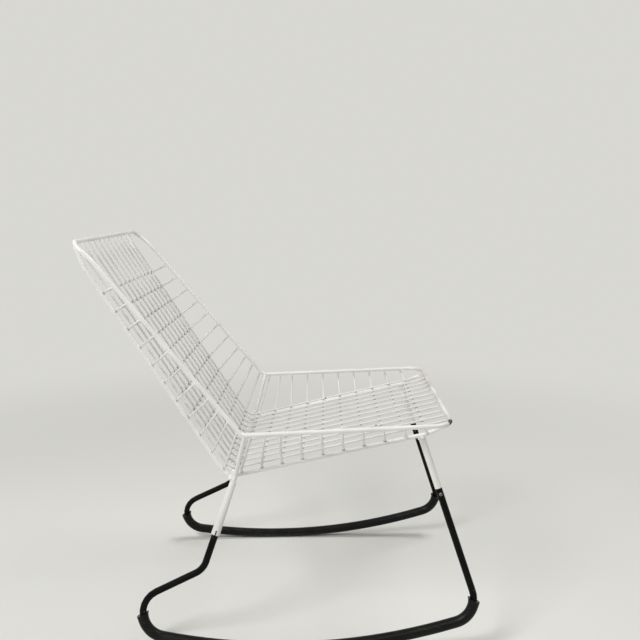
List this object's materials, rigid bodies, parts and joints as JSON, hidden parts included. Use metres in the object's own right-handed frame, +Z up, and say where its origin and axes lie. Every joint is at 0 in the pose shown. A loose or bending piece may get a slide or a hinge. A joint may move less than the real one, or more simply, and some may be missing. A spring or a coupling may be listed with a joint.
{
  "type": "rocking chair",
  "caption": "Low rocking chair: a folded, welded wire-grid shell with raised side wings, on leaning bent-tube side frames whose curved runners are sleeved in rubber hose.",
  "frame": {"origin": "on the floor, under the centre of the chair's bounding box", "axes": "+Z up, -Y towards the front of the seat, X across, X = 0 the plane of symmetry"},
  "size_m": [0.5222, 0.7293, 0.7583],
  "materials": {
    "white_paint": "semi-gloss white paint on steel rod",
    "black_paint": "gloss black paint on steel tube",
    "hose_rubber": "satin black rubber hose",
    "screw_steel": "plain steel, domed heads"
  },
  "bodies": {
    "root": {"back_cross_wire_01": "white_paint", "back_cross_wire_02": "white_paint", "back_cross_wire_03": "white_paint", "back_cross_wire_04": "white_paint", "back_cross_wire_05": "white_paint", "back_cross_wire_06": "white_paint", "back_cross_wire_07": "white_paint", "back_cross_wire_08": "white_paint", "back_cross_wire_09": "white_paint", "back_cross_wire_10": "white_paint", "back_cross_wire_11": "white_paint", "fold_bar": "white_paint", "left_front_stub": "white_paint", "left_lower_rail": "white_paint", "left_rear_post": "white_paint", "left_rear_socket": "white_paint", "left_runner_hose": "hose_rubber", "left_side_frame": "black_paint", "lengthwise_wire_01": "white_paint", "lengthwise_wire_02": "white_paint", "lengthwise_wire_03": "white_paint", "lengthwise_wire_04": "white_paint", "lengthwise_wire_05": "white_paint", "lengthwise_wire_06": "white_paint", "lengthwise_wire_07": "white_paint", "lengthwise_wire_08": "white_paint", "lengthwise_wire_09": "white_paint", "lengthwise_wire_10": "white_paint", "lengthwise_wire_11": "white_paint", "lengthwise_wire_12": "white_paint", "lock_screws": "screw_steel", "right_front_stub": "white_paint", "right_lower_rail": "white_paint", "right_rear_post": "white_paint", "right_rear_socket": "white_paint", "right_runner_hose": "hose_rubber", "right_side_frame": "black_paint", "rim": "white_paint", "seat_cross_wire_01": "white_paint", "seat_cross_wire_02": "white_paint", "seat_cross_wire_03": "white_paint", "seat_cross_wire_04": "white_paint", "seat_cross_wire_05": "white_paint", "seat_cross_wire_06": "white_paint", "seat_cross_wire_07": "white_paint", "seat_cross_wire_08": "white_paint", "seat_cross_wire_09": "white_paint", "seat_cross_wire_10": "white_paint"}
  },
  "joints": []
}
